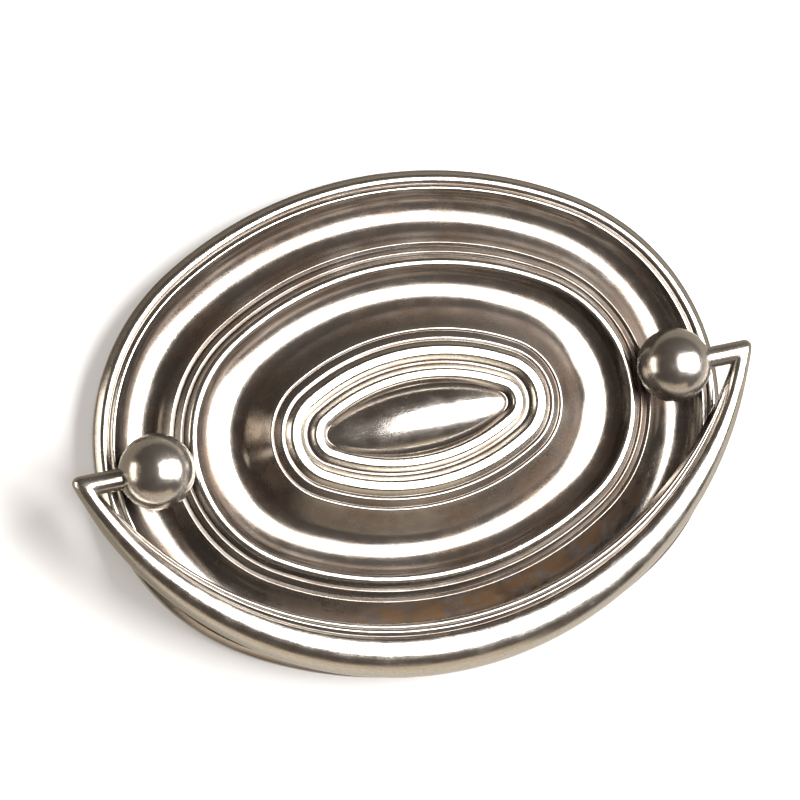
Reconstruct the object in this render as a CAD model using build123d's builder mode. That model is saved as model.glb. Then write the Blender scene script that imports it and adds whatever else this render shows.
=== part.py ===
from build123d import *
from collections import namedtuple
from math import asin, atan2, copysign, cos, degrees, radians, sin, sqrt, tan
import os

# Oval bail pull, lying on its back. The plate's back is on z = 0 and +Z points away from the
# drawer front. The origin is midway between the two fixing holes. X runs from post to post, and
# the bail hangs towards -Y. All sizes are in millimetres.

# Plate: two ovals of four tangent arcs, one for the plate and one for the boss on it, pressed
# from sheet. All rings of an oval run at a constant distance from its pointed core.
post_spacing = 64.0
post_margin = 6.5  # from a post's centre to the end of the plate
plate_height = 60.5
plate_core_height = 6.5
boss_core_height = 5.3
boss_core_length = 19.8
core_overlap = 0.2
sheet_thickness = 0.85
plate_length = post_spacing + 2 * post_margin
plate_inset = (plate_height - plate_core_height) / 2
boss_inset = (plate_height - boss_core_height) / 2

# Folds of the section across the middle: how far in from the edge, how high above the back, and
# the radius that rounds the fold. The plate's folds are set out from the edge and the boss's
# from its core, and the floor of the inner cove between them takes up the rest.
Fold = namedtuple("Fold", "inset height radius")
floor_height = 2.5
rim_edge = Fold(0.0, 1.9, 0.0)
rim_outside = Fold(0.75, 2.7, 0.0)
rim_inside = Fold(1.4, 2.7, 0.0)
rim_quirk = Fold(1.75, 2.4, 0.0)
rim_reed = Fold(2.3, 2.85, 0.0)
outer_cove = Fold(5.85, -0.9, 3.2)
tier_lip = Fold(8.9, 2.75, 0.0)
tier_quirk = Fold(9.4, 2.5, 0.0)
tier_bead = Fold(11.45, 4.75, 1.2)
inner_cove = Fold(13.48, floor_height, 3.0)
boss_cove = Fold(boss_inset - 11.33, floor_height, 3.0)
boss_wall = Fold(boss_inset - 7.9, 5.7, 0.0)
boss_quirk = Fold(boss_inset - 7.6, 5.5, 0.0)
bead_outside = Fold(boss_inset - 5.65, 6.7, 0.0)
bead_inside = Fold(boss_inset - 4.65, 6.7, 0.0)
boss_groove = Fold(boss_inset - 3.75, 5.75, 0.0)
core_outside = Fold(boss_inset - 2.85, 6.65, 0.0)
core_inside = Fold(boss_inset - 1.85, 6.65, 0.0)
core_floor = Fold(boss_inset - 1.4, 5.5, 0.0)
fold_flat_angle = 45.0  # a rounded fold turns in short flats of about this angle
fold_room = 0.98  # the share of a wall that roundings may take

# Dome in the middle of the boss
dome_rise = 1.9
dome_side_gap = 0.1
dome_end_gap = 0.2

# Posts: a ball on a short neck, riveted into the plate and tapped M4 from behind
ball_diameter = 9.0
pivot_height = 6.7
neck_diameter = 5.0
foot_diameter = 6.0
foot_thickness = 0.5
seat_height = 0.8
shank_diameter = 4.8
rivet_diameter = 6.2
rivet_depth = 0.6
tap_diameter = 3.3
tap_depth = 4.4
post_clearance = 0.04

# Bail: a crescent casting with a round arm at each end
arm_reach = 10.0  # from a post's centre to the bail's corner
bail_drop = 30.6
bail_bar_width = 6.6
bail_corner_width = 2.9
bail_crest = 1.9  # above the hinge plane at the middle of the bar
bail_round = 4.0
bail_flat_angle = 22.5  # the bar's front turns in flats of this angle
lip_width = 1.6
lip_corner_width = 0.7
lip_height = 1.0
bail_back_chamfer = 0.5
pin_diameter = 2.6
pin_clearance = 0.05
pin_end_gap = 0.3
pin_depth = 5.7
bail_rest_gap = 0.15

half_length = plate_length / 2
half_height = plate_height / 2
pin_radius = pin_diameter / 2
post_x = post_spacing / 2
from_base = (Align.CENTER, Align.CENTER, Align.MIN)

plate_folds = [
    rim_edge, rim_outside, rim_inside, rim_quirk, rim_reed, outer_cove, tier_lip, tier_quirk,
    tier_bead, inner_cove,
]
boss_folds = [
    boss_cove, boss_wall, boss_quirk, bead_outside, bead_inside, boss_groove, core_outside,
    core_inside, core_floor,
]
# Folds that the sheet's underside follows
plate_back = [rim_edge, rim_quirk, outer_cove, tier_bead, inner_cove]
boss_back = [boss_cove, boss_wall, core_floor]


def arc_radius(half_chord, sagitta):
    """Radius of an arc from its half chord and its rise."""
    return (half_chord**2 + sagitta**2) / (2 * sagitta)


def oval_arcs(end_centre, core_half_height):
    """The four arcs of an oval's core: centre, radius, first direction and turn."""
    side_radius = arc_radius(end_centre, core_half_height)
    side_centre = side_radius - core_half_height
    joint_angle = degrees(atan2(side_centre, end_centre))
    return [
        (Vector(end_centre, 0), 0.0, -joint_angle, 2 * joint_angle),
        (Vector(0, -side_centre), side_radius, joint_angle, 180 - 2 * joint_angle),
        (Vector(-end_centre, 0), 0.0, 180 - joint_angle, 2 * joint_angle),
        (Vector(0, side_centre), side_radius, 180 + joint_angle, 180 - 2 * joint_angle),
    ]


def section_points(before, folds, inset):
    """A section's folds as distances outside the oval's core and heights, with a point at each end."""
    middle = Vector(-inset, folds[-1].height)
    return [before] + [Vector(inset - fold.inset, fold.height) for fold in folds] + [middle]


def sheet_underside(points, thickness):
    """The section's points moved down through the sheet, square to its walls."""
    moved = []
    for before, point, after in zip(points, points[1:], points[2:]):
        first = (point - before).normalized().rotate(Axis.Z, 90)
        second = (after - point).normalized().rotate(Axis.Z, 90)
        moved.append(point + (first + second) * (thickness / (1 + first.dot(second))))
    return points[:1] + moved + points[-1:]


def rounded(before, fold, after, radii):
    """The corners of the flats that round a fold. Two rounded folds share the wall between them."""
    radius_before, radius, radius_after = radii
    if radius == 0:
        return [fold]
    wall_in = fold - before
    wall_out = after - fold
    turn = wall_in.get_signed_angle(wall_out, Vector(0, 0, 1))
    half_turn = tan(radians(abs(turn) / 2))
    room_in = fold_room * wall_in.length * radius / (radius + radius_before)
    room_out = fold_room * wall_out.length * radius / (radius + radius_after)
    cut = min(radius * half_turn, room_in, room_out)
    start = fold - wall_in.normalized() * cut
    centre = start + wall_in.normalized().rotate(Axis.Z, copysign(90, turn)) * (cut / half_turn)
    flats = max(1, round(abs(turn) / fold_flat_angle))
    return [centre + (start - centre).rotate(Axis.Z, turn * i / flats) for i in range(flats + 1)]


def rounded_section(points, radii):
    """The section's outline from its outer end to the core."""
    radii = [0.0] + radii + [0.0]
    outline = []
    for i in range(1, len(points) - 1):
        outline += rounded(*points[i - 1 : i + 2], radii[i - 1 : i + 2])
    return outline + [Vector(0, points[-2].Y)]


def turned_oval(arcs, section, base):
    """The section carried round an oval's four arcs, with the core filled to the section's end."""
    with BuildPart() as body:
        for centre, core_radius, start, turn in arcs:
            outward = Vector(1, 0, 0).rotate(Axis.Z, start)
            points = [point + Vector(core_radius, 0) for point in section]
            corners = [(core_radius, base), (points[0].X, base)]
            with BuildSketch(Plane(centre, x_dir=outward, z_dir=outward.cross(Vector(0, 0, 1)))):
                with BuildLine():
                    Polyline(*points, *corners, close=True)
                make_face()
            revolve(axis=Axis(centre, (0, 0, 1)), revolution_arc=turn)
        lower, upper = arcs[1], arcs[3]
        with BuildSketch(Plane.XY.offset(base)):
            with Locations(lower[0]):
                Circle(lower[1] + core_overlap)
            with Locations(upper[0]):
                Circle(upper[1] + core_overlap, mode=Mode.INTERSECT)
        extrude(amount=section[-1].Y - base)
    return body.part


# Front of the plate and its boss as full solids
plate_arcs = oval_arcs(half_length - plate_inset, plate_core_height / 2)
boss_arcs = oval_arcs(boss_core_length / 2, boss_core_height / 2)
edge_foot = Vector(plate_inset, -plate_height)
plate_points = section_points(edge_foot, plate_folds, plate_inset)
plate_front = rounded_section(plate_points, [fold.radius for fold in plate_folds])
cove_start = Vector(boss_inset, floor_height)
boss_points = section_points(cove_start, boss_folds, boss_inset)
boss_front = rounded_section(boss_points, [fold.radius for fold in boss_folds])

# The sheet's underside runs behind the front, and the coves are wider there by the sheet
coves = (outer_cove, inner_cove, boss_cove)
plate_under = sheet_underside(section_points(edge_foot, plate_back, plate_inset), sheet_thickness)
boss_under = sheet_underside(section_points(cove_start, boss_back, boss_inset), sheet_thickness)
plate_back_radii = [fold.radius + sheet_thickness if fold in coves else 0.0 for fold in plate_back]
boss_back_radii = [fold.radius + sheet_thickness if fold in coves else 0.0 for fold in boss_back]
plate_hollow = rounded_section(plate_under, plate_back_radii)
boss_hollow = rounded_section(boss_under, boss_back_radii)

# Dome, part of a spindle about the long axis
dome_half_width = half_height - core_floor.inset - dome_side_gap
dome_half_length = boss_core_length / 2 + boss_inset - core_floor.inset - dome_end_gap
dome_axis = core_floor.height + dome_rise - arc_radius(dome_half_width, dome_rise)

# Hollow behind the sheet, with a full place left round each post
seat_radius = foot_diameter / 2 + post_clearance
with BuildPart() as hollow:
    add(turned_oval(plate_arcs, plate_hollow, -plate_height))
    add(turned_oval(boss_arcs, boss_hollow, -plate_height))
    with Locations((-post_x, 0), (post_x, 0)):
        Cylinder(seat_radius + sheet_thickness, 2 * plate_height, mode=Mode.SUBTRACT)

# Backplate: the front, its boss and dome, the hollow and the two post seats
hole_diameter = shank_diameter + 2 * post_clearance
with BuildPart() as backplate:
    add(turned_oval(plate_arcs, plate_front, 0))
    add(turned_oval(boss_arcs, boss_front, 0))
    with BuildSketch(Plane.XZ):
        with BuildLine():
            foot_left = (-dome_half_length, core_floor.height)
            foot_right = (dome_half_length, core_floor.height)
            ThreePointArc(foot_left, (0, core_floor.height + dome_rise), foot_right)
            Polyline(foot_right, (dome_half_length, dome_axis), (-dome_half_length, dome_axis), foot_left)
        make_face()
    revolve(axis=Axis((0, 0, dome_axis), (1, 0, 0)))
    add(hollow.part, mode=Mode.SUBTRACT)
    with BuildSketch(Plane.XY.offset(seat_height)):
        with Locations((-post_x, 0), (post_x, 0)):
            Circle(seat_radius)
    extrude(amount=ball_diameter, mode=Mode.SUBTRACT)
    with BuildSketch(Plane.XY):
        with Locations((-post_x, 0), (post_x, 0)):
            Circle(hole_diameter / 2)
    extrude(amount=seat_height, mode=Mode.SUBTRACT)
    with Locations((-post_x, 0), (post_x, 0)):
        rivet_seat = rivet_diameter / 2 + post_clearance
        Cone(rivet_seat, hole_diameter / 2, rivet_depth, align=from_base, mode=Mode.SUBTRACT)

# Posts
ball_radius = ball_diameter / 2
neck_top = pivot_height - sqrt(ball_radius**2 - (neck_diameter / 2) ** 2)
pin_end = post_x + ball_radius - pin_depth
bore_end = pin_end - pin_end_gap


def ball_post(side):
    """A post at one end of the plate: side is -1 on the left and 1 on the right."""
    with BuildPart() as post:
        with BuildSketch(Plane((side * post_x, 0, 0), x_dir=(1, 0, 0), z_dir=(0, -1, 0))):
            with BuildLine():
                outline = Polyline(
                    (0, pivot_height + ball_radius),
                    (0, 0),
                    (rivet_diameter / 2, 0),
                    (shank_diameter / 2, rivet_depth),
                    (shank_diameter / 2, seat_height),
                    (foot_diameter / 2, seat_height),
                    (foot_diameter / 2, seat_height + foot_thickness),
                    (neck_diameter / 2, seat_height + foot_thickness),
                    (neck_diameter / 2, neck_top),
                )
                ThreePointArc(outline @ 1, (ball_radius, pivot_height), outline @ 0)
            make_face()
        revolve(axis=Axis((side * post_x, 0, 0), (0, 0, 1)))
        with BuildSketch(Plane((side * post_x, 0, 0))):
            Circle(tap_diameter / 2)
        extrude(amount=tap_depth, mode=Mode.SUBTRACT)
        with BuildSketch(Plane((side * bore_end, 0, pivot_height), z_dir=(side, 0, 0))):
            Circle(pin_radius + pin_clearance)
        extrude(amount=ball_diameter, mode=Mode.SUBTRACT)
    return post.part


left_post = ball_post(-1)
right_post = ball_post(1)

# Bail, drawn flat about its hinge axis: arcs bound the bar's outer edge, its lip and its inner edge
bail_half = post_x + arm_reach
inner_corner = bail_half - bail_corner_width
lip_corner = inner_corner + lip_corner_width
middle_corner = bail_half - bail_corner_width / 2
inner_drop = bail_drop - bail_bar_width
lip_drop = inner_drop + lip_width
middle_drop = bail_drop - bail_bar_width / 2

outer_radius = arc_radius(bail_half, bail_drop + pin_radius)
lip_radius = arc_radius(lip_corner, lip_drop - pin_radius)
inner_radius = arc_radius(inner_corner, inner_drop - pin_radius)
middle_radius = arc_radius(middle_corner, middle_drop)

# The bar's front is part of a ring, tilted so that the bar thins towards its corners
crest_fall = (bail_crest - pin_radius) / middle_drop
ring_height = bail_crest - bail_round
ring_axis_height = ring_height - crest_fall * middle_radius
ring_axis = Axis((0, middle_radius - middle_drop, ring_axis_height), (0, crest_fall, 1))
back_plane = Plane.XY.offset(-pin_radius)
with BuildPart() as crescent:
    with BuildSketch(back_plane):
        with Locations((0, outer_radius - bail_drop)):
            Circle(outer_radius)
        with Locations((0, lip_radius - lip_drop)):
            Circle(lip_radius, mode=Mode.SUBTRACT)
    extrude(amount=pin_radius + bail_crest)
    with BuildSketch(Plane((0, -middle_drop, ring_height), x_dir=(0, 1, 0), z_dir=(1, 0, 0))):
        RegularPolygon(bail_round, round(360 / bail_flat_angle))
    revolve(axis=ring_axis, mode=Mode.INTERSECT)
    with BuildSketch(back_plane):
        with Locations((0, lip_radius - lip_drop)):
            Circle(lip_radius)
        with Locations((0, outer_radius - bail_drop)):
            Circle(outer_radius, mode=Mode.INTERSECT)
        with Locations((0, inner_radius - inner_drop)):
            Circle(inner_radius, mode=Mode.SUBTRACT)
    extrude(amount=pin_radius + lip_height)
    with Locations((0, outer_radius - bail_drop, -pin_radius)):
        chamfered = outer_radius - bail_back_chamfer
        Cone(chamfered, chamfered + bail_bar_width, bail_bar_width, align=from_base, mode=Mode.INTERSECT)
    with Locations((0, inner_radius - inner_drop, -pin_radius)):
        chamfered = inner_radius + bail_back_chamfer
        Cone(chamfered, inner_radius, bail_back_chamfer, align=from_base, mode=Mode.SUBTRACT)
    for side in (-1, 1):
        mitre = Vector(side * bail_corner_width, pin_diameter)
        inside = Vector(side * inner_corner, -pin_radius) - mitre
        beyond = inside + mitre * bail_drop
        with BuildSketch(back_plane):
            with BuildLine():
                Polyline(inside, beyond, (inside.X, beyond.Y), close=True)
            make_face()
        extrude(amount=bail_bar_width, mode=Mode.SUBTRACT)

with BuildPart() as arms:
    for side in (-1, 1):
        with BuildSketch(Plane((side * pin_end, 0, 0), z_dir=(side, 0, 0))):
            Circle(pin_radius)
        extrude(amount=bail_half - pin_end)
        away = (side * pin_diameter, -bail_corner_width, 0)
        split(bisect_by=Plane((side * bail_half, pin_radius, 0), z_dir=away), keep=Keep.BOTTOM)

# The bail swung down until its back comes close to the plate's rim
rest_reach = half_height - rim_reed.inset
rest_fall = pivot_height - pin_radius - rim_reed.height - bail_rest_gap
rest_angle = asin(rest_fall / rest_reach)
rest_plane = Plane((0, 0, pivot_height), x_dir=(1, 0, 0), z_dir=(0, -sin(rest_angle), cos(rest_angle)))
with BuildPart(rest_plane) as bail:
    add(crescent.part)
    add(arms.part)

os.makedirs("parts", exist_ok=True)
backplate.part.label = "backplate"
left_post.label = "left_post"
right_post.label = "right_post"
bail.part.label = "bail"
export_step(backplate.part, "parts/backplate.step")
export_step(left_post, "parts/left_post.step")
export_step(right_post, "parts/right_post.step")
export_step(bail.part, "parts/bail.step")
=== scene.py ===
from collections import namedtuple
from math import acos, asin, atan2, ceil, copysign, cos, pi, radians, sin, sqrt, tan

import bmesh
import bpy
import numpy as np
from bpy.props import FloatProperty, FloatVectorProperty, IntProperty, PointerProperty
from bpy.types import Operator, Panel, PropertyGroup
from mathutils import Matrix, Quaternion, Vector


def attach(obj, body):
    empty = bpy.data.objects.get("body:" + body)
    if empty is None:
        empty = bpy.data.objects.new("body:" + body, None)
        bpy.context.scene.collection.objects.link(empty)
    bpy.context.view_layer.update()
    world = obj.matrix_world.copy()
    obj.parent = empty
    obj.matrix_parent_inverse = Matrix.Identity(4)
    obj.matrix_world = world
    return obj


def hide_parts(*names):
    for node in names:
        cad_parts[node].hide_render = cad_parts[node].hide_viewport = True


bl_info = {
    "name": "Bail pull",
    "version": (1, 0, 0),
    "blender": (4, 5, 0),
    "location": "View3D > Sidebar > Bail pull",
    "description": "Oval backplate with two ball posts and a swinging bail in antique nickel",
    "category": "Add Mesh",
}

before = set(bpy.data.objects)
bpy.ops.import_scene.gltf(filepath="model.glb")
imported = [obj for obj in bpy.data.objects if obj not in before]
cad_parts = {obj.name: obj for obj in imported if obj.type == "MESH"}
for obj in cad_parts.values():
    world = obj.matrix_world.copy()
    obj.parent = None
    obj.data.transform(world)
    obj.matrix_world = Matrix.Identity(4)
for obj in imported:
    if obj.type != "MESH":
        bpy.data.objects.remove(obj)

MM = 0.001
MERGE_DISTANCE = 1e-7
SHARP_ANGLE = radians(40)
ROUND_STEP = radians(9)
# The most of its part of a wall that a rounding takes
WALL_SHARE = 0.98

# Folds of the section: how far in from the edge, how high above the back, how round (mm). The
# plate's folds run round the plate's oval and the boss's round its own, and a floor lies between.
Fold = namedtuple("Fold", "inset height radius")
FLOOR_HEIGHT = 2.5
FLOOR_START, FLOOR_END, CORE_END = 14.9, 15.05, 27.0
RIM_REED = Fold(2.3, 2.85, 0.25)
PLATE_FOLDS = [
    Fold(0.0, 1.9, 0.4),
    Fold(1.15, 3.05, 0.7),
    Fold(1.75, 2.4, 0.1),
    RIM_REED,
    Fold(5.85, -0.9, 3.2),
    Fold(8.9, 2.75, 0.15),
    Fold(9.4, 2.5, 0.08),
    Fold(10.1, 3.4, 0.2),
    Fold(10.5, 3.2, 0.1),
    Fold(11.45, 4.75, 1.3),
    Fold(13.48, FLOOR_HEIGHT, 3.0),
]
BOSS_FOLDS = [
    Fold(16.27, FLOOR_HEIGHT, 3.0),
    Fold(19.7, 5.7, 0.25),
    Fold(20.0, 5.5, 0.08),
    Fold(20.85, 6.2, 0.3),
    Fold(21.3, 6.05, 0.12),
    Fold(21.95, 6.7, 0.5),
    Fold(22.95, 6.7, 0.5),
    Fold(23.85, 5.75, 0.55),
    Fold(24.75, 6.65, 0.5),
    Fold(25.75, 6.65, 0.5),
    Fold(26.2, 5.5, 0.15),
]
# Folds that the sheet's underside follows, with its own rounder corners
PLATE_BACK = [
    Fold(0.0, 1.9, 0.2),
    Fold(1.75, 2.4, 0.4),
    Fold(5.85, -0.9, 4.0),
    Fold(11.45, 4.75, 0.5),
    Fold(13.48, FLOOR_HEIGHT, 3.8),
]
BOSS_BACK = [Fold(16.27, FLOOR_HEIGHT, 3.8), Fold(19.7, 5.7, 0.5), Fold(26.2, 5.5, 0.3)]
# How deep the dome's foot goes into the core, and the sheet that lies over a post's pad (mm)
DOME_SINK, PAD_COVER = 0.2, 0.35

# Hollows, from 0 on a polished crest to 1 in a dark quirk: how far round a point its crest is looked
# for, the depths at which coves and quirks are darkest (mm), and the slope from which a wall is steep
# Steep walls that fall towards the middle count as deep hollows: that darkness is painted shade
CREST_REACH, EDGE_REACH = 1.5, 0.45
COVE_DEPTH, QUIRK_DEPTH = 1.8, 0.45
STEEP = 0.6
COVE_HOLLOW, BACK_HOLLOW, ARM_HOLLOW, BALL_HOLLOW, FOOT_HOLLOW = 0.8, 0.6, 0.25, 0.2, 0.75

# Where the bail's lip starts to run out, as a share of the way from the middle to the corner
LIP_END = 0.86
# Rows of an arm: share of the way from the corner to the pin's end, and share of the pin's size
ARM_ROWS = [(0.02, 1), (0.05, 1), (0.09, 1), (0.14, 1), (0.3, 1), (0.6, 1), (0.97, 1), (1, 0.85)]

# Lamps: direction from the pull in the camera's axes, distance and size in metres, colour, and the
# rays that don't see them
Lamp = namedtuple("Lamp", "way distance size shade unseen_by")
WHITE, CREAM, SAND = (1.0, 1.0, 1.0), (1.0, 0.93, 0.82), (1.0, 0.85, 0.66)
LAMPS = {
    "Main": Lamp((0.70, 0.11, 0.70), 0.6, (0.68, 0.46), WHITE, ["visible_camera", "visible_diffuse"]),
    "Side": Lamp((0.894, 0.166, 0.416), 0.6, (0.22, 0.65), WHITE, ["visible_camera", "visible_glossy"]),
    "Top": Lamp((0.0, 0.15, 0.99), 0.8, (0.6, 0.6), WHITE, ["visible_camera", "visible_glossy"]),
    "Fill": Lamp((-0.97, 0.0, 0.24), 0.6, (0.32, 0.42), CREAM, ["visible_camera"]),
    "Low": Lamp((0.0, -0.985, 0.17), 0.35, (0.5, 0.2), SAND, ["visible_camera"]),
}
# The paper's own light grows between these distances from the middle, in metres
GLOW_START, GLOW_END = 0.12, 0.6
# Strength of the paper's painted reflection, a glow that only glossy rays see
MIRRORED_STRENGTH = 1.25


def length(name, description, default):
    """A length in metres, given in millimetres."""
    return FloatProperty(
        name=name,
        description=description,
        default=default * MM,
        precision=5,
        subtype="DISTANCE",
        unit="LENGTH",
    )


def colour(name, description, default):
    """A linear colour."""
    return FloatVectorProperty(
        name=name, description=description, default=default, subtype="COLOR", min=0, max=1
    )


def angle(name, description, default):
    """An angle, given in degrees."""
    return FloatProperty(name=name, description=description, default=radians(default), subtype="ANGLE")


def power(name, description, default):
    """A lamp's power in watts."""
    return FloatProperty(name=name, description=description, default=default, unit="POWER")


class PullPlate(PropertyGroup):
    """Sizes of the backplate."""

    length: length("Length", "Length of the oval", 77.0)
    height: length("Height", "Height of the oval", 60.5)
    core_height: length("Core height", "Height of the pointed oval in the middle", 6.5)
    boss_core_height: length("Boss core height", "Height of the boss's own pointed oval", 5.3)
    boss_core_length: length("Boss core length", "Length of the boss's own pointed oval", 19.8)
    sheet: length("Sheet", "Thickness of the pressed sheet", 0.85)
    dome_rise: length("Dome rise", "Rise of the dome above the core", 1.9)
    dome_width: length("Dome width", "Width of the dome at its foot", 7.9)
    dome_length: length("Dome length", "Length of the dome at its foot", 22.2)
    rows: IntProperty(name="Rows", description="Rows round the oval", default=288, min=32)


class PullPosts(PropertyGroup):
    """Sizes of the two posts."""

    spacing: length("Spacing", "Distance between the posts", 64.0)
    ball: length("Ball", "Diameter of the ball", 9.0)
    pivot_height: length("Pivot height", "Height of the hinge axis above the back", 6.7)
    neck: length("Neck", "Diameter of the neck", 5.0)
    foot: length("Foot", "Diameter of the foot", 6.0)
    foot_thickness: length("Foot thickness", "Thickness of the foot", 0.5)
    seat_height: length("Seat height", "Height of the seat in the plate", 0.8)
    shank: length("Shank", "Diameter of the shank through the sheet", 4.8)
    rivet: length("Rivet", "Diameter of the rivet head behind", 6.2)
    rivet_depth: length("Rivet depth", "Depth of the rivet head", 0.6)
    thread: length("Thread", "Outer diameter of the thread behind", 4.0)
    thread_core: length("Thread core", "Inner diameter of the thread behind", 3.3)
    thread_pitch: length("Thread pitch", "Rise of the thread in one turn", 0.7)
    tap_depth: length("Tap depth", "Depth of the threaded hole", 4.4)
    clearance: length("Clearance", "Play between the post and the plate", 0.04)


class PullBail(PropertyGroup):
    """Sizes of the bail."""

    reach: length("Reach", "From a post's centre to the corner, before its rounding", 10.31)
    corner_round: length("Corner round", "Radius that rounds the corner's tip", 0.9)
    drop: length("Drop", "From the hinge axis to the outer edge", 30.6)
    bar_width: length("Bar width", "Width of the bar in the middle", 6.6)
    corner_width: length("Corner width", "Width of the bar at a corner", 3.3)
    crest: length("Crest", "Height of the bar's crest above the hinge plane", 1.9)
    pin: length("Pin", "Diameter of the arms", 2.6)
    pin_play: length("Pin play", "Play between the arm and its bore", 0.05)
    pin_depth: length("Pin depth", "How far an arm goes into its ball", 5.7)
    pin_end_gap: length("Pin end gap", "Room behind the arm's end", 0.3)
    rest_gap: length("Rest gap", "Room between the bail and the plate's rim", 0.15)
    rows: IntProperty(name="Rows", description="Rows from the bar's middle to a corner", default=110, min=8)


class PullFinish(PropertyGroup):
    """Colours and wear of the antique nickel."""

    nickel: colour("Nickel", "Bare metal", (0.42, 0.39, 0.35))
    smoke: colour("Smoke", "Metal under a thin brown film", (0.088, 0.069, 0.056))
    tarnish: colour("Tarnish", "Brown tarnish in the hollows", (0.14, 0.078, 0.038))
    bloom: colour("Bloom", "Blue-grey bloom on the tarnish", (0.125, 0.118, 0.116))
    # On steep walls that fall towards the middle this colour is painted shade; in the quirks it is dirt
    soot_and_shade: colour("Soot", "Dark dirt in the quirks and on the inner walls", (0.03, 0.024, 0.02))
    roughness: FloatProperty(
        name="Roughness", description="Roughness of the bare metal", default=0.2, subtype="FACTOR"
    )
    grain: length("Grain", "Depth of the fine grain", 0.009)


class PullStage(PropertyGroup):
    """Camera, floor and lamps."""

    camera_distance: length("Camera distance", "From the camera to the pull", 400.0)
    camera_lens: FloatProperty(name="Lens", description="Focal length in millimetres", default=149.1)
    camera_shift: FloatVectorProperty(
        name="Shift", description="Camera shift", size=2, default=(-0.0116, 0.0286)
    )
    lean: angle("Lean", "How far the camera leans", 11.8)
    lean_way: angle("Lean way", "Way it leans", 28)
    roll: angle("Roll", "Turn of the pull in the picture", 12)
    floor_gap: length("Floor gap", "Room between the back and the floor", 0.02)
    main_power: power("Main lamp", "Power of the large lamp", 21.0)
    side_power: power("Side lamp", "Power of the lamp on the paper", 21.0)
    top_power: power("Top lamp", "Power of the lamp overhead", 2.8)
    fill_power: power("Fill lamp", "Power of the small lamp", 2.6)
    low_power: power("Low lamp", "Power of the low card", 0.35)
    room: colour("Room", "Light of the dark room", (0.14, 0.112, 0.093))
    # Colours of the paper's painted reflection, which only glossy rays see
    floor_far: colour("Far floor", "The floor above the pull as the metal mirrors it", (0.45, 0.4, 0.32))
    floor_near: colour("Near floor", "The floor below the pull as the metal mirrors it", (1.0, 0.94, 0.84))


def unit(vector):
    """The vector at length one."""
    return np.asarray(vector, float) / np.linalg.norm(vector)


def rounded_line(points, radii):
    """A polyline whose corners are rounded. Two rounded corners share the wall between them."""
    line = [np.asarray(points[0], float)]
    for i in range(1, len(points) - 1):
        before, corner, after = (np.asarray(p, float) for p in points[i - 1 : i + 2])
        wall_in, wall_out = corner - before, after - corner
        first, second = unit(wall_in), unit(wall_out)
        turn = atan2(first[0] * second[1] - first[1] * second[0], first @ second)
        if radii[i] == 0 or abs(turn) < 1e-4:
            line.append(corner)
            continue
        room_in = np.linalg.norm(wall_in) * radii[i] / (radii[i] + radii[i - 1])
        room_out = np.linalg.norm(wall_out) * radii[i] / (radii[i] + radii[i + 1])
        cut = min(radii[i] * tan(abs(turn) / 2), WALL_SHARE * room_in, WALL_SHARE * room_out)
        start = corner - first * cut
        side = np.sign(turn) * np.array([-first[1], first[0]])
        centre = start + side * cut / tan(abs(turn) / 2)
        steps = max(2, ceil(abs(turn) / ROUND_STEP))
        x, y = start - centre
        for k in range(steps + 1):
            a = turn * k / steps
            line.append(centre + [x * cos(a) - y * sin(a), x * sin(a) + y * cos(a)])
    line.append(np.asarray(points[-1], float))
    return np.array(line)


def tube_faces(rows, columns):
    """Quads of a tube of closed rows, with a cap at each end."""
    faces = []
    for row in range(rows - 1):
        low, high = row * columns, (row + 1) * columns
        for c in range(columns):
            after = (c + 1) % columns
            faces.append((low + c, low + after, high + after, high + c))
    faces.append(tuple(range(columns))[::-1])
    faces.append(tuple(range((rows - 1) * columns, rows * columns)))
    return faces


def solid_mesh(name, points, faces):
    """A mesh of closed faces, in metres from millimetres, with its doubles merged and its normals outward."""
    mesh = bpy.data.meshes.new(name)
    mesh.from_pydata((np.asarray(points) * MM).tolist(), [], faces)
    tidy_mesh(mesh)
    return mesh


def tidy_mesh(mesh):
    """Merges doubles, closes what is open and turns the normals outward."""
    bm = bmesh.new()
    bm.from_mesh(mesh)
    bmesh.ops.remove_doubles(bm, verts=bm.verts, dist=MERGE_DISTANCE)
    open_edges = [edge for edge in bm.edges if edge.is_boundary]
    if open_edges:
        bmesh.ops.edgeloop_fill(bm, edges=open_edges)
    bmesh.ops.recalc_face_normals(bm, faces=bm.faces)
    bm.to_mesh(mesh)
    bm.free()


def lathe(name, profile, segments):
    """A body turned about Z from a profile of (radius, height) that starts and ends on the axis."""
    inner = [p for p in profile if p[0] > 1e-9]
    angles = np.linspace(0, 2 * pi, segments, endpoint=False)
    points = [(r * cos(a), r * sin(a), z) for r, z in inner for a in angles]
    return solid_mesh(name, points, tube_faces(len(inner), segments))


def linked(name, mesh):
    """An object for the mesh in the scene."""
    made = bpy.data.objects.new(name, mesh)
    bpy.context.scene.collection.objects.link(made)
    return made


def plain_mesh(obj):
    """The object's mesh with its modifiers applied."""
    graph = bpy.context.evaluated_depsgraph_get()
    graph.update()
    return bpy.data.meshes.new_from_object(obj.evaluated_get(graph), depsgraph=graph)


def combine(obj, steps):
    """Joins to the object, or cuts from it, the meshes of the steps (operation, mesh)."""
    tools = []
    for operation, mesh in steps:
        tool = linked(mesh.name, mesh)
        tools.append(tool)
        cut = obj.modifiers.new(mesh.name, "BOOLEAN")
        cut.operation = operation
        cut.solver = "MANIFOLD"
        cut.object = tool
    result = plain_mesh(obj)
    obj.modifiers.clear()
    old = obj.data
    obj.data = result
    bpy.data.meshes.remove(old)
    for tool in tools:
        mesh = tool.data
        bpy.data.objects.remove(tool)
        bpy.data.meshes.remove(mesh)


def store(mesh, name, kind, values):
    """A named attribute of the mesh's points."""
    made = mesh.attributes.new(name, kind, "POINT")
    field = "vector" if kind == "FLOAT_VECTOR" else "value"
    made.data.foreach_set(field, np.asarray(values, np.float32).ravel())


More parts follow.
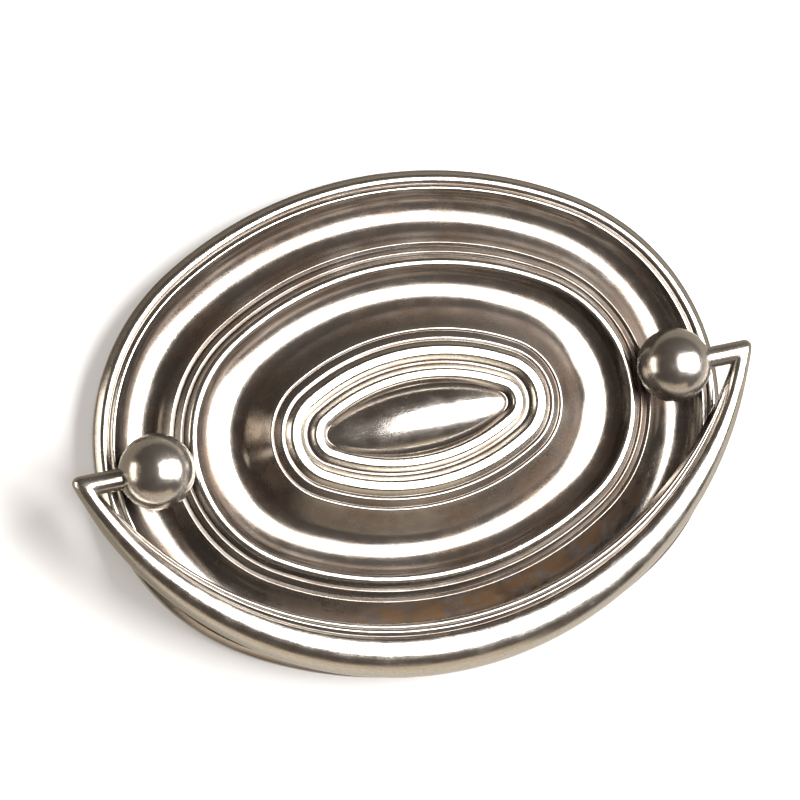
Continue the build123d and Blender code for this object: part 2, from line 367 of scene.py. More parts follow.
def coordinates(mesh):
    """The mesh's points in millimetres."""
    points = np.empty(len(mesh.vertices) * 3, np.float32)
    mesh.vertices.foreach_get("co", points)
    return points.reshape(-1, 3) / MM


def dress(obj, body, nodes, material):
    """Shades the finished piece, gives it its finish and ties it to its body."""
    mesh = obj.data
    mesh.name = obj.name
    mesh.shade_smooth()
    mesh.set_sharp_from_angle(angle=SHARP_ANGLE)
    mesh.materials.clear()
    mesh.materials.append(material)
    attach(obj, body)
    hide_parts(*nodes)


def socket_node(tree, kind, inputs=(), **settings):
    """A node with its settings and inputs. An input is a value or another node's socket."""
    made = tree.nodes.new(kind)
    for name, value in settings.items():
        setattr(made, name, value)
    for name, value in dict(inputs).items():
        if isinstance(value, bpy.types.NodeSocket):
            tree.links.new(value, made.inputs[name])
        else:
            made.inputs[name].default_value = value
    return made


def noise(tree, vector, scale, detail=3.0, roughness=0.55):
    """A noise of the vector, as a value about 0.5."""
    inputs = {"Vector": vector, "Scale": scale, "Detail": detail, "Roughness": roughness}
    return socket_node(tree, "ShaderNodeTexNoise", inputs).outputs["Fac"]


def spread(tree, value, low, high, to_low=0.0, to_high=1.0):
    """The value eased from one range to another."""
    inputs = {"Value": value, "From Min": low, "From Max": high, "To Min": to_low, "To Max": to_high}
    return socket_node(tree, "ShaderNodeMapRange", inputs, interpolation_type="SMOOTHSTEP").outputs["Result"]


def math_node(tree, operation, *values):
    """Two or three values put together."""
    return socket_node(tree, "ShaderNodeMath", dict(enumerate(values)), operation=operation).outputs[0]


def mixed(tree, factor, first, second):
    """Two colours mixed."""
    made = tree.nodes.new("ShaderNodeMix")
    made.data_type = "RGBA"
    for index, value in ((0, factor), (6, first), (7, second)):
        if isinstance(value, bpy.types.NodeSocket):
            tree.links.new(value, made.inputs[index])
        elif index == 0:
            made.inputs[index].default_value = value
        else:
            made.inputs[index].default_value = (*value, 1)
    return made.outputs[2]


def antique_nickel(finish):
    """Nickel over brass, polished on the crests, with brown tarnish left in the hollows."""
    material = bpy.data.materials.get("antique_nickel_worn")
    if material:
        return material
    material = bpy.data.materials.new("antique_nickel_worn")
    material.use_nodes = True
    tree = material.node_tree
    shader = tree.nodes["Principled BSDF"]
    point = socket_node(tree, "ShaderNodeTexCoord").outputs["Object"]
    hollow = socket_node(tree, "ShaderNodeAttribute", attribute_name="hollow").outputs["Fac"]
    stain = socket_node(tree, "ShaderNodeAttribute", attribute_name="stain").outputs["Fac"]
    grain = socket_node(tree, "ShaderNodeAttribute", attribute_name="grain").outputs["Vector"]

    patches = noise(tree, point, 110.0, 4.0, 0.6)
    blotches = noise(tree, point, 420.0, 4.0, 0.6)
    speckle = noise(tree, point, 5200.0, 2.0, 0.6)
    streaks = noise(tree, grain, 1.0, 3.0, 0.6)

    film = spread(tree, patches, 0.3, 0.7, 0.7, 1.0)
    film = math_node(tree, "MULTIPLY", spread(tree, hollow, 0.05, 0.45), film)
    amount = math_node(tree, "MAXIMUM", stain, spread(tree, patches, 0.45, 0.7, 0.0, 0.24))
    tarnish = math_node(tree, "MULTIPLY", spread(tree, hollow, 0.2, 0.6), amount)
    tarnish = math_node(tree, "MULTIPLY", tarnish, spread(tree, blotches, 0.3, 0.55, 0.55, 1.0))
    bloom = spread(tree, noise(tree, point, 480.0, 5.0, 0.7), 0.48, 0.62, 0.0, 0.8)
    bloom = math_node(tree, "MULTIPLY", stain, bloom)
    # Soot colour: dirt in the quirks, and painted shade on the steep walls that fall towards the middle
    soot_and_shade = spread(tree, streaks, 0.3, 0.6, 0.4, 0.9)
    soot_and_shade = math_node(tree, "MULTIPLY", spread(tree, hollow, 0.82, 1.0), soot_and_shade)
    specks = spread(tree, speckle, 0.52, 0.75, 0.0, 0.35)

    shade = mixed(tree, film, finish.nickel, finish.smoke)
    shade = mixed(tree, specks, shade, finish.smoke)
    shade = mixed(tree, tarnish, shade, finish.tarnish)
    shade = mixed(tree, bloom, shade, finish.bloom)
    shade = mixed(tree, soot_and_shade, shade, finish.soot_and_shade)
    tree.links.new(shade, shader.inputs["Base Color"])

    rough = spread(tree, blotches, 0.3, 0.7, finish.roughness - 0.04, finish.roughness + 0.05)
    rough = math_node(tree, "MULTIPLY_ADD", spread(tree, streaks, 0.35, 0.7), 0.05, rough)
    rough = math_node(tree, "MULTIPLY_ADD", tarnish, 0.2, rough)
    tree.links.new(rough, shader.inputs["Roughness"])
    bump = socket_node(tree, "ShaderNodeBump", {"Strength": 1.0, "Distance": finish.grain, "Height": speckle})
    bump = socket_node(
        tree,
        "ShaderNodeBump",
        {"Strength": 1.0, "Distance": finish.grain / 3, "Height": streaks, "Normal": bump.outputs["Normal"]},
    )
    tree.links.new(bump.outputs["Normal"], shader.inputs["Normal"])
    dull = math_node(tree, "MULTIPLY_ADD", film, 0.18, math_node(tree, "MULTIPLY", tarnish, 0.55))
    tree.links.new(math_node(tree, "SUBTRACT", 1.0, dull), shader.inputs["Metallic"])
    return material


def moulding_tree():
    """Nodes that carry a section round the plate's oval and two more round the boss's."""
    tree = bpy.data.node_groups.new("Mouldings round ovals", "GeometryNodeTree")
    for name in ("Plate path", "Plate section", "Boss path", "Boss sections"):
        tree.interface.new_socket(name, in_out="INPUT", socket_type="NodeSocketObject")
    tree.interface.new_socket("Material", in_out="INPUT", socket_type="NodeSocketMaterial")
    tree.interface.new_socket("Geometry", in_out="OUTPUT", socket_type="NodeSocketGeometry")
    given = tree.nodes.new("NodeGroupInput").outputs
    join = tree.nodes.new("GeometryNodeJoinGeometry")
    for path, section in (("Plate path", "Plate section"), ("Boss path", "Boss sections")):
        line = socket_node(tree, "GeometryNodeObjectInfo", {"Object": given[path]}).outputs["Geometry"]
        shape = socket_node(tree, "GeometryNodeObjectInfo", {"Object": given[section]}).outputs["Geometry"]
        upright = socket_node(tree, "GeometryNodeSetCurveNormal", {"Curve": line}, mode="Z_UP")
        curves = {"Curve": upright.outputs["Curve"], "Profile Curve": shape}
        swept = socket_node(tree, "GeometryNodeCurveToMesh", curves)
        tree.links.new(swept.outputs["Mesh"], join.inputs["Geometry"])
    real = socket_node(tree, "GeometryNodeRealizeInstances", {"Geometry": join.outputs["Geometry"]})
    coated = socket_node(
        tree, "GeometryNodeSetMaterial", {"Geometry": real.outputs["Geometry"], "Material": given["Material"]}
    )
    socket_node(tree, "NodeGroupOutput", {"Geometry": coated.outputs["Geometry"]})
    return tree


def guide(name, lines, cyclic):
    """Polylines as a curve object, from millimetres."""
    data = bpy.data.curves.new(name, "CURVE")
    data.dimensions = "3D"
    for line in lines:
        spline = data.splines.new("POLY")
        spline.points.add(len(line) - 1)
        for target, (x, y) in zip(spline.points, line):
            target.co = (x * MM, y * MM, 0, 1)
        spline.use_cyclic_u = cyclic
    return linked(name, data)


class Oval:
    """An oval of four tangent arcs at a depth round its pointed core, in millimetres."""

    def __init__(self, end_centre, core_half, depth):
        self.end_centre = end_centre
        self.depth = depth
        self.core_radius = (end_centre**2 + core_half**2) / (2 * core_half)
        self.side_centre = self.core_radius - core_half
        self.joint = atan2(self.side_centre, end_centre)

    def outline(self, rows):
        """Points of the outer edge at even turns, turning to the left from the right-hand end."""
        points = []
        for k in range(rows):
            a = 2 * pi * k / rows
            if abs(cos(a)) > cos(self.joint):
                centre, radius = (copysign(self.end_centre, cos(a)), 0), self.depth
            else:
                centre, radius = (0, -copysign(self.side_centre, sin(a))), self.core_radius + self.depth
            points.append((centre[0] + radius * cos(a), centre[1] + radius * sin(a)))
        return points

    def place(self, x, y):
        """How far in from the edge a point lies, and its direction round the oval."""
        x, y = np.asarray(x, float), np.asarray(y, float)
        end_turn = np.arctan2(np.abs(y), np.abs(x) - self.end_centre)
        at_end = end_turn < self.joint
        to_side = np.hypot(x, np.abs(y) + self.side_centre) - self.core_radius
        out = np.where(at_end, np.hypot(np.abs(x) - self.end_centre, y), to_side)
        side_turn = np.arctan2(np.abs(y) + self.side_centre, np.abs(x))
        return self.depth - out, np.where(at_end, end_turn, side_turn)


def section_line(start, folds, end):
    """A section between two points, as points of (inset, height) with its folds rounded."""
    points = [start] + [fold[:2] for fold in folds] + [end]
    return rounded_line(points, [0.0] + [fold.radius for fold in folds] + [0.0])


def underside(before, folds, after, sheet):
    """The folds moved down through the sheet, square to the walls on both sides of each."""
    corners = [np.array(before)] + [np.array(fold[:2]) for fold in folds] + [np.array(after)]
    moved = []
    for fold, wall_start, corner, wall_end in zip(folds, corners, corners[1:], corners[2:]):
        first, second = unit(corner - wall_start), unit(wall_end - corner)
        first, second = np.array([first[1], -first[0]]), np.array([second[1], -second[0]])
        shifted = corner + (first + second) * sheet / (1 + first @ second)
        moved.append(Fold(shifted[0], shifted[1], fold.radius))
    return moved


def rim_loops(edges):
    """The closed loops of open edges, each as its points in order of their direction from the middle."""
    left = set(edges)
    loops = []
    while left:
        edge = left.pop()
        loop = [edge.verts[0]]
        point = edge.verts[1]
        while point is not loop[0]:
            loop.append(point)
            edge = next(other for other in point.link_edges if other in left)
            left.remove(edge)
            point = edge.other_vert(point)
        loops.append(sorted(loop, key=lambda v: (atan2(v.co.y, v.co.x) + 1e-6) % (2 * pi)))
    return loops


def close_rims(mesh):
    """Joins two rims at one height by a floor, and fills a rim that is alone at its height."""
    bm = bmesh.new()
    bm.from_mesh(mesh)
    levels = {}
    for edge in bm.edges:
        if edge.is_boundary:
            levels.setdefault(round(edge.verts[0].co.z / MM, 2), []).append(edge)
    for edges in levels.values():
        loops = rim_loops(edges)
        if len(loops) == 1:
            bm.faces.new(loops[0])
            continue
        first, second = loops
        for k in range(len(first)):
            bm.faces.new((first[k - 1], first[k], second[k], second[k - 1]))
    bmesh.ops.recalc_face_normals(bm, faces=bm.faces)
    bm.to_mesh(mesh)
    bm.free()


def dome_mesh(plate):
    """The dome on the core, closed a little below the core's top."""
    top = BOSS_FOLDS[-1].height
    rise = plate.dome_rise / MM
    half_width, half_length = plate.dome_width / MM / 2, plate.dome_length / MM / 2
    cross_radius = (half_width**2 + rise**2) / (2 * rise)
    long_radius = (half_length**2 + rise**2) / (2 * rise)
    axis = top + rise - cross_radius
    floor = top - DOME_SINK
    points = []
    rows, across = 96, 48
    for a in np.linspace(-pi / 2, pi / 2, rows):
        x = half_length * sin(a)
        radius = cross_radius - long_radius + sqrt(long_radius**2 - x**2)
        reach = acos((floor - axis) / radius)
        turns = np.linspace(-reach, reach, across)
        points += [(x, radius * sin(t), axis + radius * cos(t)) for t in turns]
        points += [(x, radius * sin(t), floor) for t in turns[-2:0:-1]]
    return solid_mesh("dome", points, tube_faces(rows, 2 * across - 2))


class PULL_OT_backplate(Operator):
    """Makes the pressed oval backplate with its mouldings, dome and post seats"""

    bl_idname = "pull.backplate"
    bl_label = "Make the backplate"

    def execute(self, context):
        plate, posts = context.scene.pull_plate, context.scene.pull_posts
        material = antique_nickel(context.scene.pull_finish)
        half_length, half_height = plate.length / MM / 2, plate.height / MM / 2
        core, boss_core = plate.core_height / MM / 2, plate.boss_core_height / MM / 2
        depth = half_height - core
        oval = Oval(half_length - depth, core, depth)
        boss_oval = Oval(plate.boss_core_length / MM / 2, boss_core, half_height - boss_core)
        front, obj = self.pressing(plate, oval, boss_oval, material)

        steps = [("UNION", dome_mesh(plate))]
        post_x = posts.spacing / MM / 2
        seat = (posts.foot / 2 + posts.clearance) / MM
        hole = (posts.shank / 2 + posts.clearance) / MM
        flare = (posts.rivet / 2 + posts.clearance) / MM
        seat_height, rivet_depth = posts.seat_height / MM, posts.rivet_depth / MM
        for side in (-1, 1):
            steps.append(("UNION", self.pad(oval, front, side * post_x, seat + plate.sheet / MM)))
            profile = [(seat, 14), (seat, seat_height), (hole, seat_height), (hole, rivet_depth), (flare, 0)]
            tool = lathe("seat", profile + [(flare, -1)], 96)
            tool.transform(Matrix.Translation((side * post_x * MM, 0, 0)))
            steps.append(("DIFFERENCE", tool))
        combine(obj, steps)
        self.mark(obj.data, oval, boss_oval, front)
        dress(obj, "plate", ["backplate"], material)
        return {"FINISHED"}

    def pressing(self, plate, oval, boss_oval, material):
        """The pressed sheet without its dome and seats, with the front's section."""
        sheet = plate.sheet / MM
        back_height = FLOOR_HEIGHT - sheet
        plate_back = underside((0.0, -10.0), PLATE_BACK, (40.0, FLOOR_HEIGHT), sheet)
        boss_back = underside((0.0, FLOOR_HEIGHT), BOSS_BACK, (40.0, BOSS_BACK[-1].height), sheet)
        plate_front = section_line((0.0, 0.0), PLATE_FOLDS, (FLOOR_START, FLOOR_HEIGHT))
        boss_front = section_line((FLOOR_END, FLOOR_HEIGHT), BOSS_FOLDS, (CORE_END, BOSS_FOLDS[-1].height))
        behind = section_line((sheet, 0.0), plate_back, (FLOOR_START, back_height))
        behind[:, 1] = np.maximum(behind[:, 1], 0)
        boss_behind = section_line((FLOOR_END, back_height), boss_back, (CORE_END, boss_back[-1].height))
        whole = np.concatenate([plate_front[::-1], behind])
        values = {
            "Plate path": guide("plate path", [oval.outline(plate.rows)], True),
            "Plate section": guide("plate section", [-whole], False),
            "Boss path": guide("boss path", [boss_oval.outline(plate.rows)], True),
            "Boss sections": guide("boss sections", [-boss_front, -boss_behind], False),
            "Material": material,
        }
        tree = moulding_tree()
        obj = linked("Backplate", bpy.data.meshes.new("Backplate"))
        sweep = obj.modifiers.new("Mouldings", "NODES")
        sweep.node_group = tree
        for item in tree.interface.items_tree:
            if item.in_out == "INPUT":
                sweep[item.identifier] = values[item.name]
        mesh = plain_mesh(obj)
        obj.modifiers.clear()
        obj.data = mesh
        for helper in values.values():
            if helper is not material:
                data = helper.data
                bpy.data.objects.remove(helper)
                bpy.data.curves.remove(data)
        bpy.data.node_groups.remove(tree)
        close_rims(mesh)
        return np.concatenate([plate_front, boss_front]), obj

    def pad(self, oval, front, x, radius):
        """Full metal round a post, from the back up into the sheet."""
        spokes, rings = 64, 10
        turns = np.linspace(0, 2 * pi, spokes, endpoint=False)
        points = [(x + radius * cos(t), radius * sin(t), 0.0) for t in turns]
        for ring in np.linspace(1, 0.02, rings):
            for t in turns:
                px, py = x + radius * ring * cos(t), radius * ring * sin(t)
                surface = np.interp(oval.place(px, py)[0], front[:, 0], front[:, 1])
                points.append((px, py, surface - PAD_COVER))
        return solid_mesh("pad", points, tube_faces(rings + 1, spokes))

    def mark(self, mesh, oval, boss_oval, front):
        """Stores how deep each point lies in its hollow, with painted shade on steep walls that fall towards
        the middle, and its place along the mouldings.
        """
        points = coordinates(mesh)
        inset, turn = oval.place(points[:, 0], points[:, 1])
        boss_inset, boss_turn = boss_oval.place(points[:, 0], points[:, 1])
        on_boss = boss_inset > FLOOR_START
        inset = np.where(on_boss, boss_inset, np.minimum(inset, FLOOR_START))
        turn = np.where(on_boss, boss_turn, turn)
        insets = np.linspace(0, CORE_END, 1351)
        heights = np.interp(insets, front[:, 0], front[:, 1])
        crest = np.array([heights[np.abs(insets - b) < CREST_REACH].max() for b in insets])
        edge = np.array([heights[np.abs(insets - b) < EDGE_REACH].max() for b in insets])
        deep = np.clip((crest - heights) / COVE_DEPTH, 0, COVE_HOLLOW)
        quirk = np.clip((edge - heights) / QUIRK_DEPTH, 0, 1)
        # Steep walls that fall towards the middle are painted dark with the soot colour: painted shade for
        # the dark that they mirror
        slope = np.gradient(heights, insets)
        shaded = np.where(insets < FLOOR_START, np.interp(-slope, [STEEP, 0.9], [0, 1]), 0)
        hollows = np.maximum(np.maximum(deep, shaded), np.where(np.abs(slope) < STEEP, quirk, 0))
        on_dome = np.clip((inset - BOSS_FOLDS[-1].inset) / 0.2, 0, 1)
        sunk = np.clip((BOSS_FOLDS[-2].height - points[:, 2]) / COVE_DEPTH, 0, COVE_HOLLOW)
        hollow = np.interp(inset, insets, hollows) * (1 - on_dome) + sunk * on_dome
        behind = points[:, 2] < np.interp(inset, insets, heights) - 0.5
        store(mesh, "hollow", "FLOAT", np.where(behind & (points[:, 2] < 5.0), BACK_HOLLOW, hollow))
        store(mesh, "stain", "FLOAT", self.stains(points, inset))
        walked = np.concatenate([[0], np.cumsum(np.hypot(np.diff(front[:, 0]), np.diff(front[:, 1])))])
        across = np.interp(inset, front[:, 0], walked)
        signed = np.arctan2(np.sin(turn) * np.sign(points[:, 1]), np.cos(turn) * np.sign(points[:, 0]))
        grain = np.stack([np.cos(signed) * 6, np.sin(signed) * 6, across * 4], 1)
        grain[on_dome > 0.5] = points[on_dome > 0.5] * [0.4, 6, 0]
        store(mesh, "grain", "FLOAT_VECTOR", grain)

    def stains(self, points, inset):
        """Dull tarnish low in the outer cove on the right, and a spot on the left of the boss."""
        around = np.degrees(np.arctan2(points[:, 1], points[:, 0]))
        in_cove = np.interp(inset, [2.5, 4.0, 8.6, 9.5], [0, 1, 1, 0])
        low_right = np.interp(around, [-150, -105, -40, -15], [0, 1, 1, 0])
        spot = np.interp(np.hypot(points[:, 0] + 17.4, points[:, 1] + 2.7), [0.8, 2.6], [1, 0])
        return np.maximum(in_cove * low_right, spot)


class PULL_OT_posts(Operator):
    """Makes the two ball posts, riveted in the plate, bored for the bail and threaded behind"""

    bl_idname = "pull.posts"
    bl_label = "Make the posts"

    def execute(self, context):
        posts, bail = context.scene.pull_posts, context.scene.pull_bail
        material = antique_nickel(context.scene.pull_finish)
        for name, node, side in (("Left_post", "left_post", -1), ("Right_post", "right_post", 1)):
            obj = linked(name, self.turned(posts))
            combine(obj, [("DIFFERENCE", self.bore(posts, bail, side))])
            obj.data.transform(Matrix.Translation((side * posts.spacing / 2, 0, 0)))
            points = coordinates(obj.data)
            points[:, 0] -= side * posts.spacing / MM / 2
            turn = np.arctan2(points[:, 1], points[:, 0])
            foot = posts.seat_height / MM + posts.foot_thickness / MM
            hollow = np.clip((foot + 1.6 - points[:, 2]) / 2.0, BALL_HOLLOW, FOOT_HOLLOW)
            store(obj.data, "hollow", "FLOAT", hollow)
            grain = np.stack([np.cos(turn) * 2, np.sin(turn) * 2, points[:, 2] * 4], 1)
            store(obj.data, "grain", "FLOAT_VECTOR", grain)
            dress(obj, "plate", [node], material)
        return {"FINISHED"}

    def turned(self, posts):
        """A post about its own axis, without the bore for the arm."""
        ball, pivot = posts.ball / MM / 2, posts.pivot_height / MM
        neck, foot, shank = posts.neck / MM / 2, posts.foot / MM / 2, posts.shank / MM / 2
        rivet, seat = posts.rivet / MM / 2, posts.seat_height / MM
        foot_top = seat + posts.foot_thickness / MM
        low = asin(neck / ball)
        profile = [(ball * sin(a), pivot + ball * cos(a)) for a in np.linspace(0.01, pi - low, 64)]
        neck_line = [
            profile[-1],
            (neck, foot_top),
            (foot, foot_top),
            (foot, seat),
            (shank, seat),
            (shank, posts.rivet_depth / MM),
            (rivet, 0.0),
            (posts.thread / MM / 2 + 0.1, 0.0),
        ]
        profile += list(rounded_line(neck_line, [0, 0.3, 0.15, 0.02, 0.02, 0.1, 0.03, 0]))[1:]
        segments = 96
        turns = np.linspace(0, 2 * pi, segments, endpoint=False)
        points = [(r * cos(t), r * sin(t), z) for r, z in profile for t in turns]
        rows = len(profile)
        core, full, pitch = posts.thread_core / MM / 2, posts.thread / MM / 2, posts.thread_pitch / MM
        depth = posts.tap_depth / MM
        for z in np.linspace(0.12, depth, 72):
            fade = min(1.0, (depth - z) / (1.5 * pitch))
            for t in turns:
                tooth = 1 - abs(2 * ((z / pitch - t / (2 * pi)) % 1) - 1)
                radius = core + (full - core) * fade * min(1.0, max(0.0, 1.3 * tooth - 0.15))
                points.append((radius * cos(t), radius * sin(t), z))
            rows += 1
        for t in turns:
            points.append((0.02 * cos(t), 0.02 * sin(t), depth + core * 0.55))
        return solid_mesh("post", points, tube_faces(rows + 1, segments))

    def bore(self, posts, bail, side):
        """The blind bore for the arm, from the ball's outer side."""
        radius = (bail.pin / 2 + bail.pin_play) / MM
        inner = posts.ball / MM / 2 - (bail.pin_depth + bail.pin_end_gap) / MM
        tool = lathe("bore", [(0.01, 8.0), (radius, 8.0), (radius, inner), (0.01, inner)], 64)
        tool.transform(Matrix.Rotation(side * pi / 2, 4, "Y"))
        tool.transform(Matrix.Translation((0, 0, posts.pivot_height)))
        return tool


class PULL_OT_bail(Operator):
    """Makes the crescent bail with its crest, groove and reeded lip, and its two arms"""

    bl_idname = "pull.bail"
    bl_label = "Make the bail"

    def execute(self, context):
        posts, bail, plate = context.scene.pull_posts, context.scene.pull_bail, context.scene.pull_plate
        pin = bail.pin / MM / 2
        corner = (posts.spacing / 2 + bail.reach) / MM
        inner_corner = corner - bail.corner_width / MM
        outer = self.arc(corner, bail.drop / MM, pin)
        tip = self.tip(outer, pin, bail.corner_round / MM)
        inner = self.arc(inner_corner, (bail.drop - bail.bar_width) / MM, -pin)
        section, reeds = self.section(bail)
        lateral, height = section[:, 0], section[:, 1]
        turns = np.arctan2((height - height.mean()) / np.ptp(height) * 2, 2 * lateral - 1)
        round_lateral, round_height = 0.5 + 0.5 * np.cos(turns), pin * np.sin(turns)
        points, hollow, grain = [], [], []

        def row(t, side):
            """A row of the bar, from 0 in the middle to 1 at the corner."""
            ends = []
            for centre, radius, reach in (inner, outer):
                a = reach * t
                ends.append(np.array([side * radius * sin(a), centre - radius * cos(a)]))
            ends[1] = self.blunt(*ends, tip)
            share = np.clip((t - LIP_END) / (1 - LIP_END), 0, 1)
            blend = share * share * (3 - 2 * share)
            crest = bail.crest / MM + (pin - bail.crest / MM) * t * t
            tall = (height + pin) * (crest + pin) / (bail.crest / MM + pin) - pin
            s = lateral + (round_lateral - lateral) * blend
            w = tall + (round_height - tall) * blend
            flat = ends[0][None, :] + s[:, None] * (ends[1] - ends[0])[None, :]
            width = np.linalg.norm(ends[1] - ends[0])
            points.extend(np.column_stack([flat, w]))
            hollow.extend(reeds * (1 - blend))
            grain.extend(np.column_stack([np.full(len(s), side * t * 12), s * width * 4, w * 4]))

        def arm(side):
            """Rows of an arm from the corner to the end of its pin."""
            start = side * (inner_corner + round_lateral * bail.corner_width / MM)
            stop = (posts.spacing / 2 + posts.ball / 2 - bail.pin_depth) / MM
            rows = []
            for share, size in ARM_ROWS:
                x = start + (side * stop - start) * share
                y = (2 * round_lateral - 1) * pin * size
                flat = np.column_stack([x, y])
                inside, outside = flat[np.argmin(round_lateral)], flat[np.argmax(round_lateral)]
                drawn = np.linalg.norm(self.blunt(inside, outside, tip) - inside)
                flat = inside + (flat - inside) * drawn / np.linalg.norm(outside - inside)
                rows.append(np.column_stack([flat, round_height * size]))
            return rows

        def add(rows):
            """Adds an arm's rows to the bail's."""
            for made in rows:
                points.extend(made)
                hollow.extend(np.full(len(made), ARM_HOLLOW))
                grain.extend(made * 4)

        add(arm(-1)[::-1])
        stations = np.sin(np.linspace(0, pi / 2, bail.rows + 1))
        for t in stations[:0:-1]:
            row(t, -1)
        for t in stations:
            row(t, 1)
        add(arm(1))
        count = len(section)
        mesh = bpy.data.meshes.new("Bail")
        mesh.from_pydata((np.array(points) * MM).tolist(), [], tube_faces(len(points) // count, count))
        store(mesh, "hollow", "FLOAT", hollow)
        store(mesh, "grain", "FLOAT_VECTOR", grain)
        tidy_mesh(mesh)
        reach = plate.height / 2 - RIM_REED.inset * MM
        fall = posts.pivot_height - bail.pin / 2 - RIM_REED.height * MM - bail.rest_gap
        tilt = Matrix.Rotation(asin(fall / reach), 4, "X")
        mesh.transform(Matrix.Translation((0, 0, posts.pivot_height)) @ tilt)
        obj = linked("Bail", mesh)
        dress(obj, "bail", ["bail"], antique_nickel(context.scene.pull_finish))
        return {"FINISHED"}

    def arc(self, half_chord, drop, end_height):
        """Centre, radius and reach of an arc hanging by a drop from two ends near the hinge axis."""
        rise = drop + end_height
        radius = (half_chord**2 + rise**2) / (2 * rise)
        centre = radius - drop
        return centre, radius, atan2(half_chord, centre - end_height)

    def tip(self, outer, top, radius):
        """Centre and radius of the round between the outer arc and the arm's upper edge."""
        centre, outer_radius, _ = outer
        y = top - radius
        return np.array([sqrt((outer_radius - radius) ** 2 - (y - centre) ** 2), y]), radius, centre

    def blunt(self, inside, outside, tip):
        """The outer end of a row, drawn back to the corner's round where the row reaches past it."""
        middle, radius, centre = tip
        mirror = np.array([copysign(1, outside[0]), 1])
        start, end = inside * mirror, outside * mirror
        spoke = end - middle
        below_arc = middle[0] * spoke[1] < (middle[1] - centre) * spoke[0]
        if spoke[0] < 0 or below_arc or spoke @ spoke < radius**2:
            return outside
        way = unit(end - start)
        along = (middle - start) @ way
        across = middle - start - along * way
        return (start + way * (along + sqrt(max(0, radius**2 - across @ across)))) * mirror

    def section(self, bail):
        """The bar's section in the middle, across from the inner edge as a share, and height in mm."""
        width, crest, pin = bail.bar_width / MM, bail.crest / MM, bail.pin / MM / 2
        groove = crest - 0.115 * width
        points = [
            (0.45 * width, -pin, 0),
            (0.0, -pin, 0.45),
            (0.0, groove + 0.02, 0.22),
            (0.065 * width, groove + 0.2, 0.16),
            (0.1 * width, groove + 0.02, 0.06),
            (0.15 * width, groove + 0.2, 0.16),
            (0.235 * width, groove - 0.08, 0.12),
        ]
        top, turn_radius = 0.515 * width, 3.6
        for x in np.linspace(0.29 * width, 0.975 * width, 30):
            points.append((x, crest - turn_radius + sqrt(turn_radius**2 - (x - top) ** 2), 0))
        points += [(width, points[-1][1] - 0.45, 0.3), (width, -pin, 0.45), (0.55 * width, -pin, 0)]
        line = rounded_line([p[:2] for p in points], [p[2] for p in points])
        line[:, 0] /= width
        low = np.clip((groove + 0.12 - line[:, 1]) / 0.2, 0, 1)
        reeds = np.where((line[:, 0] > 0.03) & (line[:, 0] < 0.3) & (line[:, 1] > 0), low, 0)
        return line, np.where(line[:, 1] < -pin + 0.1, BACK_HOLLOW, reeds)


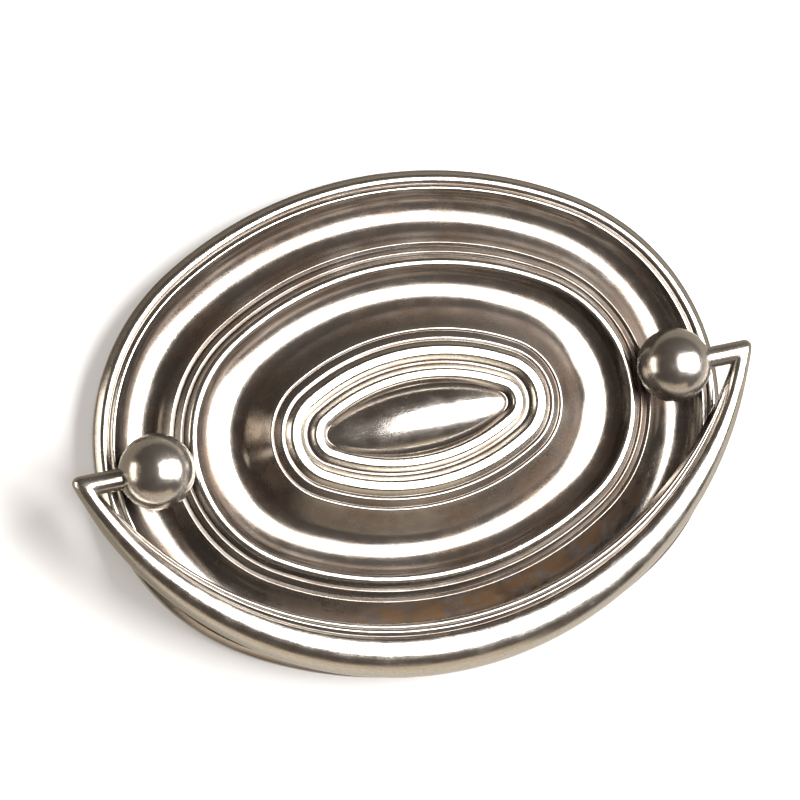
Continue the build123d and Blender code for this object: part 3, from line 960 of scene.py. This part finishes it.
class PULL_OT_stage(Operator):
    """Sets the floor, the lamps, the room's light and the camera"""

    bl_idname = "pull.stage"
    bl_label = "Set the stage"

    def execute(self, context):
        scene, stage = context.scene, context.scene.pull_stage
        lean = Quaternion((-sin(stage.lean_way), cos(stage.lean_way), 0), stage.lean)
        turn = (lean @ Quaternion((0, 0, 1), stage.roll)).to_matrix().transposed()
        data = bpy.data.cameras.new("Camera")
        data.lens = stage.camera_lens
        data.sensor_width = 36
        data.shift_x, data.shift_y = stage.camera_shift
        data.clip_start, data.clip_end = 0.01, 20
        camera = linked("Camera", data)
        camera.matrix_world = turn.to_4x4() @ Matrix.Translation((0, 0, stage.camera_distance))
        scene.camera = camera

        bpy.ops.mesh.primitive_plane_add(size=6, location=(0, 0, -stage.floor_gap))
        floor = context.active_object
        floor.name = "Floor"
        floor.data.materials.append(self.paper(stage))

        powers = (stage.main_power, stage.side_power, stage.top_power, stage.fill_power, stage.low_power)
        for name, watts in zip(LAMPS, powers):
            self.hang(name, watts, turn)
        world = bpy.data.worlds.new("Room")
        world.use_nodes = True
        world.node_tree.nodes["Background"].inputs["Color"].default_value = (*stage.room, 1)
        scene.world = world
        scene.view_settings.view_transform = "Standard"
        return {"FINISHED"}

    def paper(self, stage):
        """White paper that keeps the shadow, with a painted reflection that the metal mirrors as the dark
        room's floor.
        """
        material = bpy.data.materials.new("paper")
        material.use_nodes = True
        tree = material.node_tree
        shader = tree.nodes["Principled BSDF"]
        shader.inputs["Roughness"].default_value = 0.9
        shader.inputs["Specular IOR Level"].default_value = 0.1
        point = socket_node(tree, "ShaderNodeTexCoord").outputs["Object"]
        shade = mixed(tree, noise(tree, point, 40.0), (0.37, 0.365, 0.36), (0.4, 0.395, 0.39))
        tree.links.new(shade, shader.inputs["Base Color"])
        shader.inputs["Emission Color"].default_value = (1.0, 0.94, 0.89, 1)
        away = socket_node(tree, "ShaderNodeVectorMath", {0: point}, operation="LENGTH").outputs["Value"]
        tree.links.new(spread(tree, away, GLOW_START, GLOW_END, 0.3, 1.0), shader.inputs["Emission Strength"])
        # Painted reflection: glossy rays see an emission, pale below the pull and dark elsewhere, in place of
        # the lit paper
        down = (sin(stage.roll), -cos(stage.roll), 0)
        below = socket_node(tree, "ShaderNodeVectorMath", {0: point, 1: down}, operation="DOT_PRODUCT")
        nearness = spread(tree, below.outputs["Value"], 0.005, 0.04)
        tint = mixed(tree, nearness, stage.floor_far, stage.floor_near)
        mirrored = socket_node(tree, "ShaderNodeEmission", {"Color": tint, "Strength": MIRRORED_STRENGTH})
        glossy = socket_node(tree, "ShaderNodeLightPath").outputs["Is Glossy Ray"]
        surfaces = {0: glossy, 1: shader.outputs["BSDF"], 2: mirrored.outputs["Emission"]}
        both = socket_node(tree, "ShaderNodeMixShader", surfaces)
        tree.links.new(both.outputs["Shader"], tree.nodes["Material Output"].inputs["Surface"])
        return material

    def hang(self, name, watts, turn):
        """Hangs a soft lamp so that it faces the pull."""
        lamp = LAMPS[name]
        data = bpy.data.lights.new(name, "AREA")
        data.shape = "RECTANGLE"
        data.size, data.size_y = lamp.size
        data.energy = watts
        data.color = lamp.shade
        made = linked(name, data)
        for rays in lamp.unseen_by:
            setattr(made, rays, False)
        back = turn @ Vector(lamp.way).normalized()
        across = (turn @ Vector((0, 1, 0))).cross(back).normalized()
        up = back.cross(across)
        basis = Matrix((across, up, back)).transposed().to_4x4()
        made.matrix_world = Matrix.Translation(back * lamp.distance) @ basis


class PULL_PT_sidebar(Panel):
    """Sizes, finish and steps of the bail pull"""

    bl_idname = "PULL_PT_sidebar"
    bl_label = "Bail pull"
    bl_space_type = "VIEW_3D"
    bl_region_type = "UI"
    bl_category = "Bail pull"

    def draw(self, context):
        for group in GROUPS:
            box = self.layout.box()
            settings = getattr(context.scene, group)
            for name in settings.__annotations__:
                box.prop(settings, name)
            if group in STEPS:
                box.operator(STEPS[group])


GROUPS = {
    "pull_plate": PullPlate,
    "pull_posts": PullPosts,
    "pull_bail": PullBail,
    "pull_finish": PullFinish,
    "pull_stage": PullStage,
}
STEPS = {
    "pull_plate": "pull.backplate",
    "pull_posts": "pull.posts",
    "pull_bail": "pull.bail",
    "pull_stage": "pull.stage",
}
OPERATORS = [PULL_OT_backplate, PULL_OT_posts, PULL_OT_bail, PULL_OT_stage]


def register():
    """Registers the settings, the steps and the panel."""
    for group in GROUPS.values():
        bpy.utils.register_class(group)
    for name, group in GROUPS.items():
        setattr(bpy.types.Scene, name, PointerProperty(type=group))
    for made in (*OPERATORS, PULL_PT_sidebar):
        bpy.utils.register_class(made)


def unregister():
    """Takes them out again in reverse order."""
    for made in (PULL_PT_sidebar, *reversed(OPERATORS)):
        bpy.utils.unregister_class(made)
    for name in GROUPS:
        delattr(bpy.types.Scene, name)
    for group in reversed(GROUPS.values()):
        bpy.utils.unregister_class(group)


def main():
    """Makes the pull and its stage."""
    register()
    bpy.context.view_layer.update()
    bpy.ops.pull.backplate()
    bpy.ops.pull.posts()
    bpy.ops.pull.bail()
    bpy.ops.pull.stage()


if __name__ == "__main__":
    main()
